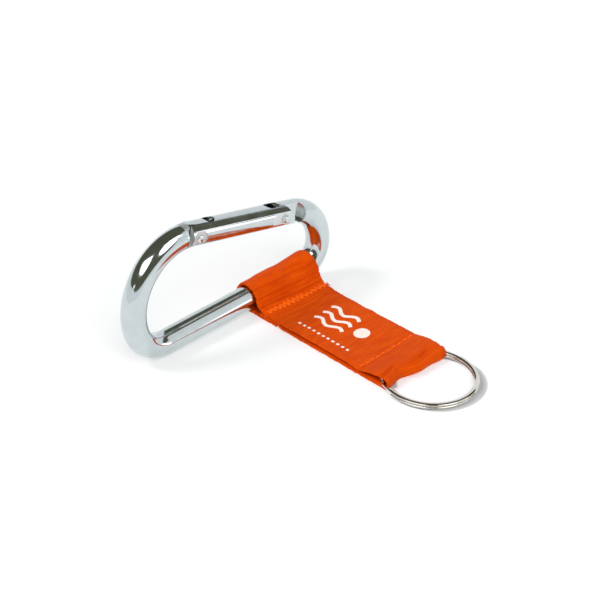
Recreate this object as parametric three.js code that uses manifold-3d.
// Carabiner keyring: a round-bar carabiner with a sprung gate, a folded webbing strap and a split ring.
// Millimetres, +Z up. The carabiner stands on its spine and the strap lies flat on the floor.
import * as THREE from 'three';
import { mergeVertices } from 'three/addons/utils/BufferGeometryUtils.js';
import Module from 'manifold-3d';

const wasm = await Module();
wasm.setup();

// ---- Driving dimensions ----
const BAR_RADIUS = 4; // frame and gate are turned from 8 mm aluminium bar
const BAR_SIDES = 20;
const FIT_GAP = 0.05; // between pieces that touch and stay together
const RUNNING_GAP = 0.1; // between pieces that turn or slide

// Frame centreline, walked clockwise from the latch to the hinge.
const GATE_SIDE = 43.5; // straight top side that the gate closes
const GATE_SLOPE = THREE.MathUtils.degToRad(12.85); // between the gate side and the spine
const WIDE_END = { radius: 20.3, angle: THREE.MathUtils.degToRad(115.3) };
const WIDE_CORNER_RADIUS = 11.15;
const NARROW_END_RADIUS = 14.85;

// Gate, measured along the gate side from the hinge rivet towards the latch (u) and outwards (v).
const RIVET_TO_LINE = 0.555; // rivets lie this far inside the bar centreline
const HINGE_FROM_NARROW_END = 6.1; // hinge rivet back from the end of the straight side
const LATCH_RIVET_U = 36.9;
const GATE_TAIL_U = -2.6;
const GATE_NOSE_U = 39.9;
const SHOULDER_U = 41.7; // full bar starts again here on the frame
const SLOT_WIDTH = 3.9;
const HINGE_SLOT_END_U = 7;
const LATCH_SLOT_END_U = 29.2;
const CHEEK_FLAT_Y = 3.5; // spot-faced flats around the rivets
const HINGE_FLAT_RADIUS = 5.5;
const LATCH_FLAT_RADIUS = 2.75;
const TONGUE_HALF = 1.7;
const TONGUE_TIP_U = 30.85;
const HOOK_WALL_U = 35.65;
const HOOK_LOWEST_V = -1.6;
const NOTCH_TOP_V = 1.3;
const NOTCH_REAR_U = 38.2;
const POCKET_END_U = -8.7; // milled pocket beside the hinge tongue
const POCKET_RADIUS = 4.45;
const SEAT_U = 2.2; // flat on the hinge tongue that the plunger presses
const RIVET_SHANK_RADIUS = 1.05;
const HINGE_HEAD_RADIUS = 1.7;
const LATCH_HEAD_RADIUS = 1.3;
const HEAD_HEIGHT = 0.75;

// Gate spring and its plunger, in a blind bore below the hinge rivet's height.
const SPRING_DROP = 1.4;
const BORE_RADIUS = 1.6;
const BORE_END_U = 13.7;
const SPRING_MEAN_RADIUS = 1.22;
const WIRE_RADIUS = 0.24;
const SPRING_COILS = 8;
const PLUNGER_DOME_RADIUS = 1.2;
const PLUNGER_HEAD_RADIUS = 1.45;
const PLUNGER_HEAD_LENGTH = 1.2;
const PLUNGER_STEM_RADIUS = 0.7;
const PLUNGER_STEM_LENGTH = 5.2;

// Webbing strap, one 25.4 mm band folded into two plies.
const WEBBING_WIDTH = 25.4;
const PLY = 1;
const PLY_GAP = 0.3;
const STRAP_TOP = 2 * PLY + PLY_GAP;
const STRAP_LEFT_X = 35;
const STRAP_SKEW = Math.tan(THREE.MathUtils.degToRad(2)); // the strap leaves the spine slightly askew
const LOOP_RADIUS = 4.5;
const LOOP_CLOSED_Y = -8.5; // the plies meet here
const STRAP_END_Y = -51.4;
const CLEAR_FROM_Y = -49; // flat and free of stitches from here
const CLEAR_TO_Y = -13; // to here
const THREAD_HEIGHT = 0.3;
const THREAD_WIDTH = 0.6;
const GROOVE_DEPTH = 0.45;
const EDGE_MARGIN = 1.2; // stitching stops this far from the selvedges
const LOOP_SEAM_Y = -10.2;
const LOOP_SEAM_SWING = 0.9;
const LOOP_SEAM_ZIGZAGS = 9;
const RING_SEAM_Y = -50.6;

// Pocket that holds the split ring.
const POCKET_HINGE_Y = STRAP_END_Y - STRAP_TOP / 2 - RUNNING_GAP;
const POCKET_TOP = 4.1;
const POCKET_FOLD_Y = -63.6;

// Split ring, two turns of flat wire.
const RING_RADIUS = 14.2;
const RING_WIRE_WIDTH = 1.6;
const RING_WIRE_HEIGHT = 0.86;
const RING_TURN_GAP = 0.06;
const RING_CENTRE = { x: 45.6, y: -68.5 };
const RING_START = THREE.MathUtils.degToRad(168);
const RING_STEP_ANGLE = THREE.MathUtils.degToRad(24);

// ---- Materials ----
const aluminium = new THREE.MeshStandardMaterial({ color: 0xc8d0d2, metalness: 1, roughness: 0.16 });
const gateAluminium = new THREE.MeshStandardMaterial({ color: 0xbfc8cb, metalness: 1, roughness: 0.2 });
const rivetSteel = new THREE.MeshStandardMaterial({ color: 0xb9bdc0, metalness: 1, roughness: 0.3 });
const springSteel = new THREE.MeshStandardMaterial({ color: 0x8d8f92, metalness: 1, roughness: 0.35 });
const nickel = new THREE.MeshStandardMaterial({ color: 0xb8b4ae, metalness: 1, roughness: 0.18 });
const webbing = new THREE.MeshStandardMaterial({ color: 0xe2490f, metalness: 0, roughness: 0.8 });
const thread = new THREE.MeshStandardMaterial({ color: 0xc93d08, metalness: 0, roughness: 0.7 });

// ---- Geometry helpers ----

// Extrudes a section, then moves each of its points to where `place` puts it at each station.
function sweep(section, stations, place) {
  const steps = stations.length - 1;
  const geometry = new THREE.ExtrudeGeometry(section, { depth: steps, steps, bevelEnabled: false, curveSegments: 6 });
  const points = geometry.getAttribute('position');
  for (let i = 0; i < points.count; i += 1) {
    const station = stations[Math.round(points.getZ(i))];
    const moved = place(points.getX(i), points.getY(i), station);
    points.setXYZ(i, moved.x, moved.y, moved.z);
  }
  return geometry;
}

function polygonSection(radius, sides, squash = 1) {
  const section = new THREE.Shape();
  for (let i = 0; i < sides; i += 1) {
    const angle = (2 * Math.PI * i) / sides;
    section[i === 0 ? 'moveTo' : 'lineTo'](radius * Math.cos(angle), radius * squash * Math.sin(angle));
  }
  return section;
}

function evenStations(from, to, steps) {
  return Array.from({ length: steps + 1 }, (_, i) => from + ((to - from) * i) / steps);
}

function toSolid(geometry) {
  const bare = geometry.index ? geometry.toNonIndexed() : geometry.clone();
  bare.deleteAttribute('normal');
  bare.deleteAttribute('uv');
  const merged = mergeVertices(bare, 1e-5);
  return new wasm.Manifold(new wasm.Mesh({
    numProp: 3,
    vertProperties: new Float32Array(merged.getAttribute('position').array),
    triVerts: new Uint32Array(merged.index.array),
  }));
}

function toGeometry(solid) {
  const mesh = solid.getMesh();
  const geometry = new THREE.BufferGeometry();
  geometry.setAttribute('position', new THREE.BufferAttribute(mesh.vertProperties, 3));
  geometry.setIndex(new THREE.BufferAttribute(mesh.triVerts, 1));
  geometry.computeVertexNormals();
  return geometry;
}

function named(name, geometry, material) {
  const mesh = new THREE.Mesh(geometry, material);
  mesh.name = name;
  return mesh;
}

// A cylinder about an axis parallel to Y.
function crossCylinder(radius, fromY, toY, x, z, sides = 24) {
  const geometry = new THREE.CylinderGeometry(radius, radius, toY - fromY, sides);
  return toSolid(geometry.translate(x, (fromY + toY) / 2, z));
}

// A cylinder about an axis parallel to X.
function lengthCylinder(radius, fromX, toX, z, sides = BAR_SIDES) {
  const geometry = new THREE.CylinderGeometry(radius, radius, toX - fromX, sides);
  geometry.rotateZ(-Math.PI / 2);
  return toSolid(geometry.translate((fromX + toX) / 2, 0, z));
}

function block(fromX, toX, fromY, toY, fromZ, toZ) {
  const geometry = new THREE.BoxGeometry(toX - fromX, toY - fromY, toZ - fromZ);
  return toSolid(geometry.translate((fromX + toX) / 2, (fromY + toY) / 2, (fromZ + toZ) / 2));
}

// A plate with the given outline in X and Z, centred on Y.
function plate(outline, halfThickness) {
  const geometry = new THREE.ExtrudeGeometry(outline, {
    depth: 2 * halfThickness,
    bevelEnabled: false,
    curveSegments: 8,
  });
  geometry.rotateX(Math.PI / 2);
  return toSolid(geometry.translate(0, halfThickness, 0));
}

// ---- Carabiner outline, in the gate's frame: hinge rivet at the origin, +X to the latch, +Z outwards ----

const WIDE_CORNER_ANGLE = Math.PI + GATE_SLOPE - WIDE_END.angle;
const wideTop = { // end of the gate side above the spine's left tangent point
  x: (WIDE_END.radius - WIDE_CORNER_RADIUS) * Math.sin(WIDE_CORNER_ANGLE) + WIDE_END.radius * Math.sin(GATE_SLOPE),
  z: WIDE_CORNER_RADIUS * (1 - Math.cos(WIDE_CORNER_ANGLE))
    + WIDE_END.radius * (Math.cos(WIDE_CORNER_ANGLE) + Math.cos(GATE_SLOPE)),
};
const narrowTop = {
  x: wideTop.x + GATE_SIDE * Math.cos(GATE_SLOPE),
  z: wideTop.z - GATE_SIDE * Math.sin(GATE_SLOPE),
};
const NARROW_CORNER_RADIUS = narrowTop.z - NARROW_END_RADIUS * Math.cos(GATE_SLOPE);
const SPINE_LENGTH = narrowTop.x + NARROW_END_RADIUS * (1 - Math.sin(GATE_SLOPE)) - NARROW_CORNER_RADIUS;
const hinge = { // hinge rivet in the spine's frame
  x: narrowTop.x - HINGE_FROM_NARROW_END * Math.cos(GATE_SLOPE) - RIVET_TO_LINE * Math.sin(GATE_SLOPE),
  z: narrowTop.z + HINGE_FROM_NARROW_END * Math.sin(GATE_SLOPE) - RIVET_TO_LINE * Math.cos(GATE_SLOPE),
};

// Walks straights and left-hand arcs in the X-Z plane, and gives the places where bar sections stand.
function walk(start, heading, stretches) {
  const stations = [];
  let at = new THREE.Vector2(start.x, start.z);
  let towards = heading;
  for (const { length = 0, radius = 0, angle = 0, steps = 1 } of stretches) {
    const centre = new THREE.Vector2(-Math.sin(towards), Math.cos(towards)).multiplyScalar(radius).add(at);
    const forward = new THREE.Vector2(Math.cos(towards), Math.sin(towards));
    const pointAt = (share) => (angle > 0
      ? at.clone().rotateAround(centre, angle * share)
      : at.clone().addScaledVector(forward, length * share));
    for (let i = 0; i < steps; i += 1) {
      stations.push({ at: pointAt(i / steps), towards: towards + (angle * i) / steps });
    }
    at = pointAt(1);
    towards += angle;
  }
  stations.push({ at, towards });
  return stations;
}

function onBar(a, b, station) {
  const { at, towards } = station;
  return { x: at.x + a * Math.sin(towards), y: b, z: at.y - a * Math.cos(towards) };
}

// ---- Carabiner pieces ----

const HINGE_TONGUE_NOSE_U = 4; // the bar is swept this far, then cut to shape
const latchReach = GATE_SIDE - HINGE_FROM_NARROW_END - TONGUE_TIP_U + 1;

function carabinerFrame() {
  const stations = walk({ x: HINGE_TONGUE_NOSE_U, z: RIVET_TO_LINE }, Math.PI, [
    { length: HINGE_TONGUE_NOSE_U + HINGE_FROM_NARROW_END },
    { radius: NARROW_END_RADIUS, angle: Math.PI / 2 - GATE_SLOPE, steps: 12 },
    { radius: NARROW_CORNER_RADIUS, angle: Math.PI / 2, steps: 12 },
    { length: SPINE_LENGTH },
    { radius: WIDE_CORNER_RADIUS, angle: WIDE_CORNER_ANGLE, steps: 12 },
    { radius: WIDE_END.radius, angle: WIDE_END.angle, steps: 18 },
    { length: latchReach },
  ]);
  const bar = toSolid(sweep(polygonSection(BAR_RADIUS, BAR_SIDES), stations, onBar));
  const latchZone = block(TONGUE_TIP_U - 3, SHOULDER_U, -6, 6, -8, 8).subtract(plate(latchTongue(), TONGUE_HALF));
  const hingeZone = plate(hingePocket(), 6).subtract(plate(hingeTongue(), TONGUE_HALF));
  const rivetHole = crossCylinder(RIVET_SHANK_RADIUS + RUNNING_GAP, -6, 6, 0, 0);
  return toGeometry(bar.subtract(latchZone).subtract(hingeZone).subtract(rivetHole));
}

// Tongue with a rounded tip and a hook that the latch rivet swings up into.
function latchTongue() {
  const notchX = (HOOK_WALL_U + NOTCH_REAR_U) / 2;
  const notchRadius = (NOTCH_REAR_U - HOOK_WALL_U) / 2;
  const outline = new THREE.Shape();
  outline.moveTo(SHOULDER_U + 1, -7);
  outline.lineTo(SHOULDER_U + 1, 7);
  outline.lineTo(TONGUE_TIP_U + 3, 7);
  outline.lineTo(TONGUE_TIP_U + 3, BAR_RADIUS + RIVET_TO_LINE);
  outline.quadraticCurveTo(TONGUE_TIP_U, BAR_RADIUS, TONGUE_TIP_U, 1.5);
  outline.lineTo(TONGUE_TIP_U, -0.4);
  outline.quadraticCurveTo(TONGUE_TIP_U, HOOK_LOWEST_V, TONGUE_TIP_U + 1.3, HOOK_LOWEST_V);
  outline.lineTo(HOOK_WALL_U, HOOK_LOWEST_V);
  outline.lineTo(HOOK_WALL_U, NOTCH_TOP_V - notchRadius);
  outline.absarc(notchX, NOTCH_TOP_V - notchRadius, notchRadius, Math.PI, 0, true);
  outline.lineTo(NOTCH_REAR_U, -7);
  return outline;
}

// Tongue that the gate straddles, with a flat seat for the plunger.
function hingeTongue() {
  const outline = new THREE.Shape();
  outline.moveTo(POCKET_END_U - 2, -7);
  outline.lineTo(SEAT_U - 0.6, -7);
  outline.lineTo(SEAT_U, -3.2);
  outline.lineTo(SEAT_U, 3.2);
  outline.quadraticCurveTo(SEAT_U, BAR_RADIUS + RIVET_TO_LINE, 1, BAR_RADIUS + RIVET_TO_LINE);
  outline.lineTo(1, 7);
  outline.lineTo(POCKET_END_U - 2, 7);
  return outline;
}

function hingePocket() {
  const outline = new THREE.Shape();
  const centreX = POCKET_END_U + POCKET_RADIUS;
  outline.moveTo(HINGE_TONGUE_NOSE_U + 1, RIVET_TO_LINE - POCKET_RADIUS);
  outline.lineTo(HINGE_TONGUE_NOSE_U + 1, RIVET_TO_LINE + POCKET_RADIUS);
  outline.lineTo(centreX, RIVET_TO_LINE + POCKET_RADIUS);
  outline.absarc(centreX, RIVET_TO_LINE, POCKET_RADIUS, Math.PI / 2, 1.5 * Math.PI, false);
  return outline;
}

// A slot through the gate from top to bottom, open at `openX` and round at `endX`.
function gateSlot(openX, endX) {
  const half = SLOT_WIDTH / 2;
  const side = Math.sign(endX - openX);
  const centreX = endX - side * half;
  const outline = new THREE.Shape();
  outline.moveTo(openX, -side * half);
  outline.lineTo(centreX, -side * half);
  outline.absarc(centreX, 0, half, -side * Math.PI / 2, side * Math.PI / 2, false);
  outline.lineTo(openX, side * half);
  const geometry = new THREE.ExtrudeGeometry(outline, { depth: 14, bevelEnabled: false, curveSegments: 8 });
  return toSolid(geometry.translate(0, 0, -7));
}

function gateSide() {
  const low = RIVET_TO_LINE - BAR_RADIUS - 1;
  const high = RIVET_TO_LINE + BAR_RADIUS + 1;
  const bevel = 1.35;
  const outline = new THREE.Shape();
  outline.moveTo(GATE_TAIL_U + BAR_RADIUS, RIVET_TO_LINE - BAR_RADIUS);
  outline.lineTo(GATE_TAIL_U + BAR_RADIUS, low);
  outline.lineTo(GATE_NOSE_U - bevel, low);
  outline.lineTo(GATE_NOSE_U, low + bevel);
  outline.lineTo(GATE_NOSE_U, high - bevel);
  outline.lineTo(GATE_NOSE_U - bevel, high);
  outline.lineTo(GATE_TAIL_U + BAR_RADIUS, high);
  outline.lineTo(GATE_TAIL_U + BAR_RADIUS, RIVET_TO_LINE + BAR_RADIUS);
  outline.absarc(GATE_TAIL_U + BAR_RADIUS, RIVET_TO_LINE, BAR_RADIUS, Math.PI / 2, 1.5 * Math.PI, false);
  return outline;
}

function gate() {
  let bar = lengthCylinder(BAR_RADIUS, GATE_TAIL_U, GATE_NOSE_U, RIVET_TO_LINE);
  bar = bar.intersect(plate(gateSide(), BAR_RADIUS + 1));
  bar = bar.subtract(gateSlot(GATE_TAIL_U - 2, HINGE_SLOT_END_U));
  bar = bar.subtract(gateSlot(GATE_NOSE_U + 2, LATCH_SLOT_END_U));
  bar = bar.subtract(lengthCylinder(BORE_RADIUS, HINGE_SLOT_END_U - 3, BORE_END_U, -SPRING_DROP, 16));
  const faces = [[0, HINGE_FLAT_RADIUS], [LATCH_RIVET_U, LATCH_FLAT_RADIUS]];
  for (const [x, flatRadius] of faces) {
    bar = bar.subtract(crossCylinder(flatRadius, CHEEK_FLAT_Y, BAR_RADIUS + 1, x, 0));
    bar = bar.subtract(crossCylinder(flatRadius, -BAR_RADIUS - 1, -CHEEK_FLAT_Y, x, 0));
    bar = bar.subtract(crossCylinder(RIVET_SHANK_RADIUS + FIT_GAP, -6, 6, x, 0, 20));
  }
  return toGeometry(bar);
}

// Domed head, shank and domed head, about an axis along Y.
function rivet(headRadius) {
  const underHead = CHEEK_FLAT_Y + FIT_GAP;
  const half = [new THREE.Vector2(RIVET_SHANK_RADIUS, underHead)];
  for (let i = 0; i <= 4; i += 1) {
    const angle = (Math.PI / 2) * (i / 4);
    const radius = i === 4 ? 0 : headRadius * Math.cos(angle);
    half.push(new THREE.Vector2(radius, underHead + HEAD_HEIGHT * (0.25 + 0.75 * Math.sin(angle))));
  }
  half.splice(1, 0, new THREE.Vector2(headRadius, underHead));
  const mirrored = half.map((p) => new THREE.Vector2(p.x, -p.y)).reverse();
  return toGeometry(toSolid(new THREE.LatheGeometry([...mirrored, ...half], 20)));
}

function gateSpring() {
  const firstX = SEAT_U + FIT_GAP + PLUNGER_DOME_RADIUS + PLUNGER_HEAD_LENGTH / 2 + FIT_GAP + WIRE_RADIUS;
  const lastX = BORE_END_U - FIT_GAP - WIRE_RADIUS;
  const pitch = (lastX - firstX) / (2 * Math.PI * SPRING_COILS);
  const stations = evenStations(0, 2 * Math.PI * SPRING_COILS, SPRING_COILS * 14);
  return sweep(polygonSection(WIRE_RADIUS, 6), stations, (a, b, angle) => ({
    x: firstX + pitch * angle + b,
    y: (SPRING_MEAN_RADIUS + a) * Math.sin(angle),
    z: (SPRING_MEAN_RADIUS + a) * Math.cos(angle) - SPRING_DROP,
  }));
}

// Domed head that presses the seat, and a stem inside the spring.
function springPlunger() {
  const profile = [];
  for (let i = 0; i <= 5; i += 1) {
    const angle = (Math.PI / 2) * (i / 5);
    profile.push(new THREE.Vector2(
      PLUNGER_DOME_RADIUS * Math.sin(angle),
      PLUNGER_DOME_RADIUS * (1 - Math.cos(angle)),
    ));
  }
  const collarEnd = PLUNGER_DOME_RADIUS + PLUNGER_HEAD_LENGTH / 2;
  profile.push(new THREE.Vector2(PLUNGER_HEAD_RADIUS, PLUNGER_DOME_RADIUS));
  profile.push(new THREE.Vector2(PLUNGER_HEAD_RADIUS, collarEnd));
  profile.push(new THREE.Vector2(PLUNGER_STEM_RADIUS, collarEnd));
  profile.push(new THREE.Vector2(PLUNGER_STEM_RADIUS, collarEnd + PLUNGER_STEM_LENGTH));
  profile.push(new THREE.Vector2(0, collarEnd + PLUNGER_STEM_LENGTH));
  const geometry = new THREE.LatheGeometry(profile, 16);
  geometry.rotateZ(-Math.PI / 2);
  geometry.translate(SEAT_U + FIT_GAP, 0, -SPRING_DROP);
  return toGeometry(toSolid(geometry));
}

// ---- Strap pieces, with Y along the strap and the spine over Y = 0 ----

const SPINE_TILT = Math.atan((PLY + RUNNING_GAP) / STRAP_LEFT_X); // the lower ply props the spine up
const spineHeight = (x) => BAR_RADIUS + x * Math.tan(SPINE_TILT);
const STRAP_RIGHT_X = STRAP_LEFT_X + WEBBING_WIDTH;

// The loop grows from left to right, so that it stays round the rising spine.
function onStrap(y, z, x) {
  const grown = spineHeight(x) / (PLY + LOOP_RADIUS);
  const share = THREE.MathUtils.clamp((y - LOOP_CLOSED_Y) / (LOOP_RADIUS - 0.5), 0, 1);
  const scale = 1 + (grown - 1) * share;
  return { x: x + STRAP_SKEW * y, y: y * scale, z: z * scale };
}

// Angle on a circle round (0, centreZ) where a line to the given point touches it, above the point.
function tangentAngle(radius, centreZ, y, z) {
  const distance = Math.hypot(y, z - centreZ);
  return Math.atan2(z - centreZ, y) + 2 * Math.PI - Math.acos(radius / distance);
}

function strapOutline() {
  const centreZ = PLY + LOOP_RADIUS;
  const outer = LOOP_RADIUS + PLY;
  const outerTouch = tangentAngle(outer, centreZ, LOOP_CLOSED_Y, STRAP_TOP);
  const innerTouch = tangentAngle(LOOP_RADIUS, centreZ, LOOP_CLOSED_Y, PLY + PLY_GAP);
  const outline = new THREE.Shape();
  outline.moveTo(STRAP_END_Y, 0);
  outline.lineTo(CLEAR_FROM_Y, 0);
  outline.lineTo(CLEAR_TO_Y, 0);
  outline.lineTo(LOOP_CLOSED_Y, 0);
  outline.absarc(0, centreZ, outer, -Math.PI / 2, outerTouch, false);
  outline.lineTo(LOOP_CLOSED_Y, STRAP_TOP);
  outline.lineTo(CLEAR_TO_Y, STRAP_TOP);
  outline.lineTo(CLEAR_FROM_Y, STRAP_TOP);
  outline.lineTo(STRAP_END_Y, STRAP_TOP);
  outline.lineTo(STRAP_END_Y, PLY + PLY_GAP);
  outline.lineTo(LOOP_CLOSED_Y, PLY + PLY_GAP);
  outline.absarc(0, centreZ, LOOP_RADIUS, innerTouch, -Math.PI / 2, true);
  outline.lineTo(LOOP_CLOSED_Y, PLY);
  outline.lineTo(STRAP_END_Y, PLY);
  return outline;
}

// A flat ribbon across the strap, `swing` either side of seamY, with its underside at bottomZ.
function seamRibbon(seamY, swing, width, bottomZ, height) {
  const steps = swing > 0 ? LOOP_SEAM_ZIGZAGS * 2 : 1;
  const section = new THREE.Shape();
  section.moveTo(-width / 2, 0);
  section.lineTo(width / 2, 0);
  section.lineTo(width / 2, height);
  section.lineTo(-width / 2, height);
  const stations = evenStations(0, steps, steps).map((i) => ({
    x: STRAP_LEFT_X + EDGE_MARGIN + ((WEBBING_WIDTH - 2 * EDGE_MARGIN) * i) / steps,
    y: seamY + (swing > 0 ? swing * (i % 2 === 0 ? 1 : -1) : 0),
  }));
  return sweep(section, stations, (a, b, { x, y }) => ({
    x: x + STRAP_SKEW * (y + a),
    y: y + a,
    z: bottomZ + b,
  }));
}

const seams = [
  { name: 'loop_seam', y: LOOP_SEAM_Y, swing: LOOP_SEAM_SWING },
  { name: 'ring_seam', y: RING_SEAM_Y, swing: 0 },
];

// The lower ply has a groove under each seam, where the bobbin thread lies.
function strapWebbing() {
  const stations = evenStations(STRAP_LEFT_X, STRAP_RIGHT_X, 4);
  let strap = toSolid(sweep(strapOutline(), stations, onStrap));
  for (const { y, swing } of seams) {
    const groove = seamRibbon(y, swing, THREAD_WIDTH + 2 * RUNNING_GAP, -1, 1 + GROOVE_DEPTH);
    strap = strap.subtract(toSolid(groove));
  }
  return toGeometry(strap);
}

// ---- Ring pocket and split ring ----

const RING_HEIGHT = 2 * RING_WIRE_HEIGHT + RING_TURN_GAP;
const RING_OUTER = RING_RADIUS + RING_WIRE_WIDTH / 2;
const ringNearHeight = PLY + RUNNING_GAP + RING_HEIGHT / 2;
const ringFarHeight = RING_HEIGHT / 2;
const RING_TILT = Math.asin((ringNearHeight - ringFarHeight) / (2 * RING_RADIUS));
const ringCentreHeight = RING_OUTER * Math.sin(RING_TILT) + (RING_HEIGHT / 2) * Math.cos(RING_TILT);

function ringTurn(angle) {
  const stepFrom = 2 * Math.PI - RING_STEP_ANGLE;
  const climbed = THREE.MathUtils.smoothstep(angle, stepFrom, 2 * Math.PI);
  return (climbed - 0.5) * (RING_WIRE_HEIGHT + RING_TURN_GAP);
}

// Flat wire wound twice, stepping up from the lower turn to the upper one.
function splitRing() {
  const section = new THREE.Shape();
  const halfWidth = RING_WIRE_WIDTH / 2;
  const halfHeight = RING_WIRE_HEIGHT / 2;
  const corner = 0.25;
  section.moveTo(-halfWidth + corner, -halfHeight);
  section.lineTo(halfWidth - corner, -halfHeight);
  section.lineTo(halfWidth, -halfHeight + corner);
  section.lineTo(halfWidth, halfHeight - corner);
  section.lineTo(halfWidth - corner, halfHeight);
  section.lineTo(-halfWidth + corner, halfHeight);
  section.lineTo(-halfWidth, halfHeight - corner);
  section.lineTo(-halfWidth, -halfHeight + corner);
  const end = 4 * Math.PI - RING_STEP_ANGLE;
  const stations = evenStations(0, end, 116);
  return sweep(section, stations, (a, b, angle) => ({
    x: (RING_RADIUS - a) * Math.cos(RING_START + angle),
    y: (RING_RADIUS - a) * Math.sin(RING_START + angle),
    z: b + ringTurn(angle),
  }));
}

function placeRing(object) {
  object.position.set(RING_CENTRE.x, RING_CENTRE.y, ringCentreHeight);
  object.rotation.x = RING_TILT;
  object.updateMatrix();
  return object;
}

// The room that the ring turns in.
function ringRoom() {
  const inner = RING_RADIUS - RING_WIRE_WIDTH / 2 - RUNNING_GAP;
  const outer = RING_OUTER + RUNNING_GAP;
  const half = RING_HEIGHT / 2 + RUNNING_GAP / 2;
  const profile = [[inner, -half], [outer, -half], [outer, half], [inner, half], [inner, -half]];
  const geometry = new THREE.LatheGeometry(profile.map(([r, z]) => new THREE.Vector2(r, z)), 72);
  geometry.rotateX(Math.PI / 2);
  return geometry.applyMatrix4(placeRing(new THREE.Object3D()).matrix);
}

function pocketOutline() {
  const noseRadius = STRAP_TOP / 2;
  const foldRadius = POCKET_TOP / 2;
  const foldY = POCKET_FOLD_Y + foldRadius;
  const wallY = RING_CENTRE.y + RING_OUTER; // the ring's front edge
  const outline = new THREE.Shape();
  outline.moveTo(foldY, 0);
  outline.absarc(POCKET_HINGE_Y, noseRadius, noseRadius, -Math.PI / 2, Math.PI / 2, false);
  outline.lineTo(wallY - 0.2, POCKET_TOP);
  outline.absarc(foldY, foldRadius, foldRadius, Math.PI / 2, 1.5 * Math.PI, false);
  const room = new THREE.Path();
  room.moveTo(wallY + 0.15, PLY);
  room.lineTo(wallY + 0.15, POCKET_TOP - PLY);
  room.absarc(foldY, foldRadius, foldRadius - PLY, Math.PI / 2, 1.5 * Math.PI, false);
  outline.holes.push(room);
  return outline;
}

function pocketWebbing() {
  const stations = [STRAP_LEFT_X, STRAP_RIGHT_X];
  const body = sweep(pocketOutline(), stations, (y, z, x) => ({ x: x + STRAP_SKEW * y, y, z }));
  return toGeometry(toSolid(body).subtract(toSolid(ringRoom())));
}

// ---- Assembly ----

const gateFrame = new THREE.Group();
gateFrame.position.set(hinge.x, 0, hinge.z);
gateFrame.rotation.set(0, GATE_SLOPE, Math.PI, 'YXZ');
const latchRivet = named('latch_rivet', rivet(LATCH_HEAD_RADIUS), rivetSteel);
latchRivet.position.x = LATCH_RIVET_U;
gateFrame.add(
  named('carabiner_frame', carabinerFrame(), aluminium),
  named('gate_bar', gate(), gateAluminium),
  named('hinge_rivet', rivet(HINGE_HEAD_RADIUS), rivetSteel),
  latchRivet,
  named('gate_spring', gateSpring(), springSteel),
  named('spring_plunger', springPlunger(), rivetSteel),
);

const carabiner = new THREE.Group();
carabiner.rotation.y = -SPINE_TILT;
carabiner.position.z = BAR_RADIUS + WIDE_CORNER_RADIUS * (1 - Math.cos(SPINE_TILT));
carabiner.add(gateFrame);

const strap = new THREE.Group();
strap.add(
  named('strap_webbing', strapWebbing(), webbing),
  named('ring_pocket_webbing', pocketWebbing(), webbing),
  placeRing(named('split_ring', splitRing(), nickel)),
);
for (const { name, y, swing } of seams) {
  const top = seamRibbon(y, swing, THREAD_WIDTH, STRAP_TOP + FIT_GAP, THREAD_HEIGHT);
  const bobbin = seamRibbon(y, swing, THREAD_WIDTH, FIT_GAP, THREAD_HEIGHT);
  strap.add(named(`${name}_top_thread`, top, thread), named(`${name}_bobbin_thread`, bobbin, thread));
}

// The origin is the middle of the keyring's footprint, on the floor.
const keyring = new THREE.Group();
keyring.add(carabiner, strap);
keyring.updateMatrixWorld(true);
const footprint = new THREE.Box3().setFromObject(keyring, true);
const middle = footprint.getCenter(new THREE.Vector3());
keyring.position.set(-middle.x, -middle.y, -footprint.min.z);

export default keyring;
